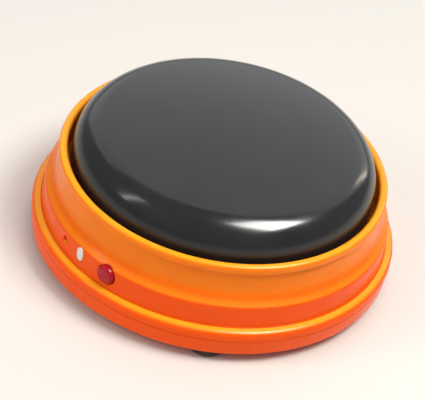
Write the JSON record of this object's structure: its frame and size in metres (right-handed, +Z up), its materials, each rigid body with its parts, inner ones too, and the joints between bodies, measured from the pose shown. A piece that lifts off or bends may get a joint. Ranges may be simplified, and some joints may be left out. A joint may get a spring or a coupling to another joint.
{
  "type": "quiz buzzer",
  "caption": "Round quiz buzzer: a sprung black press dome in a stepped orange housing with a side record button, a light window, a microphone hole, a loudspeaker and a battery door beneath.",
  "frame": {"origin": "on the surface that the feet rest on, at the dome's axis", "axes": "+Z up along the dome's axis; -Y is the front; the record button is at front left, 37 degrees from the front towards -X"},
  "size_m": [0.089, 0.089, 0.0356],
  "materials": {
    "orange_shell": "polished moulded ABS",
    "black_dome": "glossy moulded ABS",
    "red_button": "glossy moulded ABS",
    "white_window": "translucent white polycarbonate",
    "light_resin": "clear red epoxy",
    "white_moulding": "moulded acetal, satin",
    "rubber_feet": "soft moulded rubber",
    "rubber_black": "soft moulded rubber",
    "foam_grey": "closed-cell foam",
    "screw_steel": "zinc-plated steel",
    "spring_steel": "nickel-plated spring steel",
    "speaker_steel": "pressed steel",
    "ferrite": "ground ferrite",
    "speaker_film": "polyester film",
    "capsule_aluminium": "drawn aluminium can",
    "circuit_board": "solder-masked board",
    "switch_black": "moulded nylon",
    "chip_resin": "potting resin",
    "capacitor_sleeve": "shrink sleeve",
    "wire_sleeve": "flexible insulation",
    "cell_jacket": "plain printed steel can"
  },
  "bodies": {
    "housing": {"housing_screws": "screw_steel", "board_screws": "screw_steel", "clamp_screws": "screw_steel", "upper_housing": "orange_shell", "base_tray": "orange_shell", "contact_bridge": "spring_steel", "contact_negative": "spring_steel", "contact_positive": "spring_steel", "return_spring_1": "spring_steel", "return_spring_2": "spring_steel", "return_spring_3": "spring_steel", "main_board": "circuit_board", "record_board": "circuit_board", "main_switch": "switch_black", "record_switch": "switch_black", "sound_chip": "chip_resin", "filter_capacitor": "capacitor_sleeve", "record_light": "light_resin", "light_lens": "white_window", "microphone": "capsule_aluminium", "microphone_boot": "rubber_black", "speaker_frame": "speaker_steel", "speaker_magnet": "ferrite", "speaker_cone": "speaker_film", "speaker_gasket": "foam_grey", "speaker_clamp": "white_moulding", "speaker_wires": "wire_sleeve", "battery_wires": "wire_sleeve", "record_wires": "wire_sleeve", "microphone_wires": "wire_sleeve", "foot_front": "rubber_feet", "foot_right": "rubber_feet", "foot_back": "rubber_feet", "foot_left": "rubber_feet", "battery_1": "cell_jacket", "battery_2": "cell_jacket"},
    "dome": {"button_dome": "black_dome", "plunger_spider": "white_moulding", "spider_screws": "screw_steel"},
    "main_switch_stem": {"main_switch_stem": "white_moulding"},
    "record_button": {"record_button": "red_button", "record_switch_stem": "white_moulding"},
    "battery_door": {"battery_door": "orange_shell", "door_screw": "screw_steel"}
  },
  "joints": [
    {"name": "dome_press", "type": "slide", "parent": "housing", "child": "dome", "axis": [0, 0, -1], "range_m": [0, 0.003], "stiffness_N_per_m": 1400, "springref_m": -0.002, "deforming": ["return_spring_1", "return_spring_2", "return_spring_3"]},
    {"name": "main_switch_press", "type": "slide", "parent": "housing", "child": "main_switch_stem", "axis": [0, 0, -1], "range_m": [0, 0.0003]},
    {"name": "record_press", "type": "slide", "parent": "housing", "child": "record_button", "axis": [0.6018, 0.7986, 0], "range_m": [0, 0.0006], "stiffness_N_per_m": 2500, "springref_m": -0.0003},
    {"name": "battery_door_lift", "type": "slide", "parent": "housing", "child": "battery_door", "axis": [0, 0, -1], "range_m": [0, 0.01]}
  ],
  "couplings": [
    {"joint": "main_switch_press", "follows": "dome_press", "ratio": 0.1}
  ]
}
